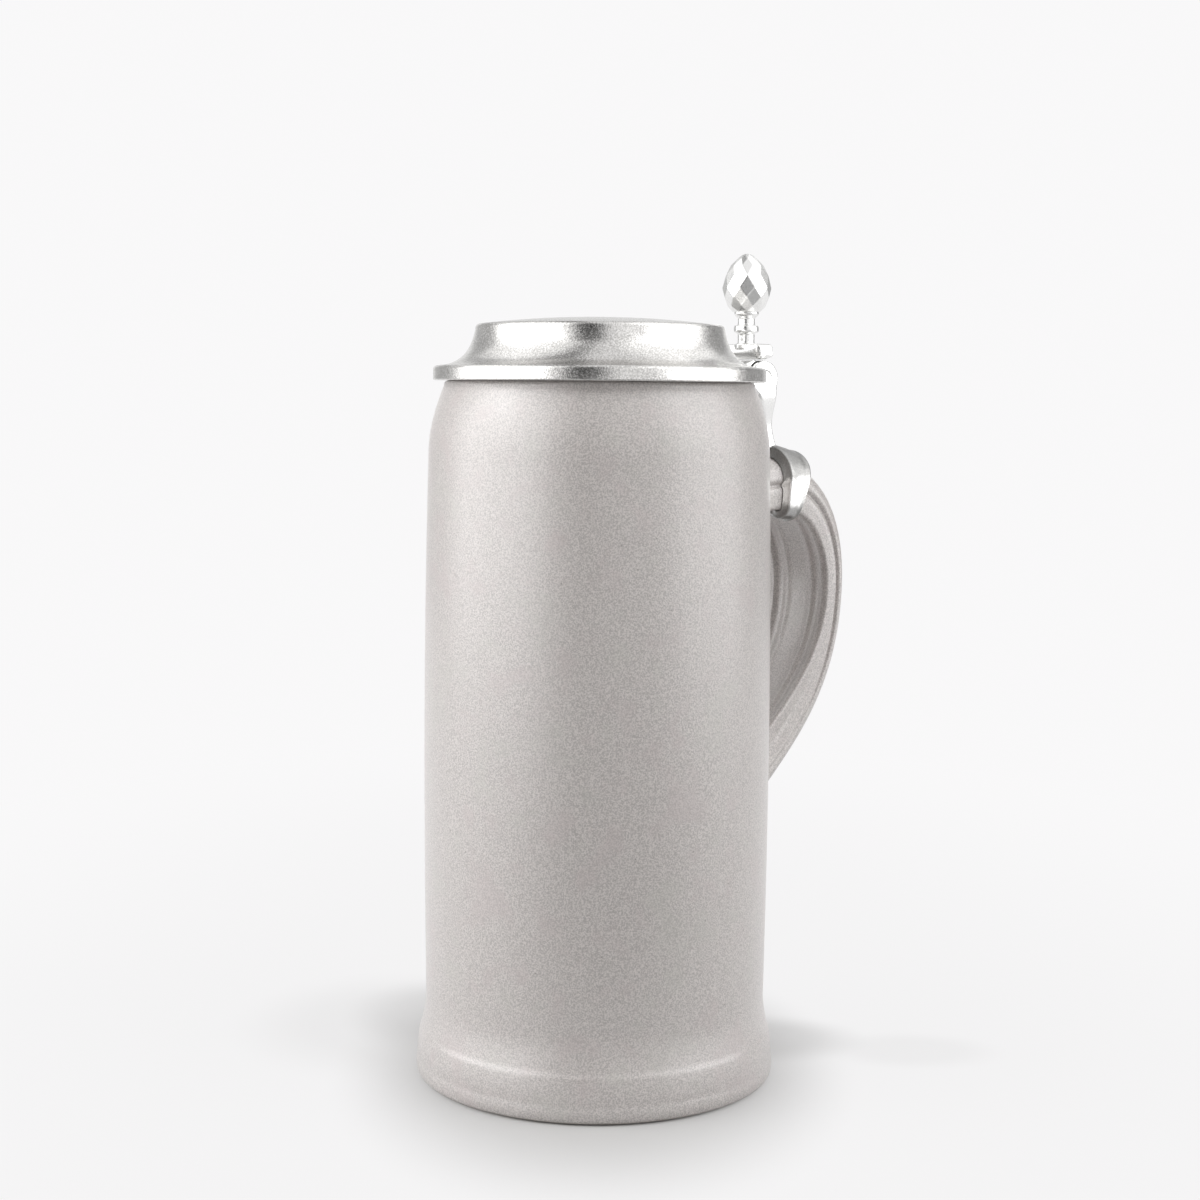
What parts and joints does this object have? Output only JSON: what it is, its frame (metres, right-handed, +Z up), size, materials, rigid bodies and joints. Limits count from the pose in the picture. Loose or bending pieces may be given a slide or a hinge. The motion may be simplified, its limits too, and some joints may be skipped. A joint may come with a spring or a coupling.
{
  "type": "lidded beer stein",
  "caption": "Tall stoneware beer stein with an ear handle and a hinged pewter lid, lifted with the thumb by a cut knob above the hinge.",
  "frame": {"origin": "middle of the flat base, on the surface that the stein stands on", "axes": "+Z up along the mug's axis, +X towards the handle, hinge axis along Y"},
  "size_m": [0.1426, 0.1058, 0.2429],
  "materials": {
    "stoneware": "light warm grey salt glaze, satin, with a fine orange-peel grain",
    "satin_pewter": "spun pewter, satin",
    "bright_pewter": "cast pewter, polished",
    "pin_steel": "drawn steel"
  },
  "bodies": {
    "mug": {"stoneware_body": "stoneware", "stoneware_handle": "stoneware", "handle_band": "bright_pewter", "hinge_shank": "bright_pewter", "hinge_pin": "pin_steel", "pin_plug_left": "bright_pewter", "pin_plug_right": "bright_pewter"},
    "lid": {"lid_cover": "satin_pewter", "lid_tang": "bright_pewter", "thumb_lift": "bright_pewter"}
  },
  "joints": [
    {"name": "lid_hinge", "type": "hinge", "parent": "mug", "child": "lid", "pos_m": [0.0572, 0, 0.205], "axis": [0, 1, 0], "range_deg": [0, 100]}
  ]
}
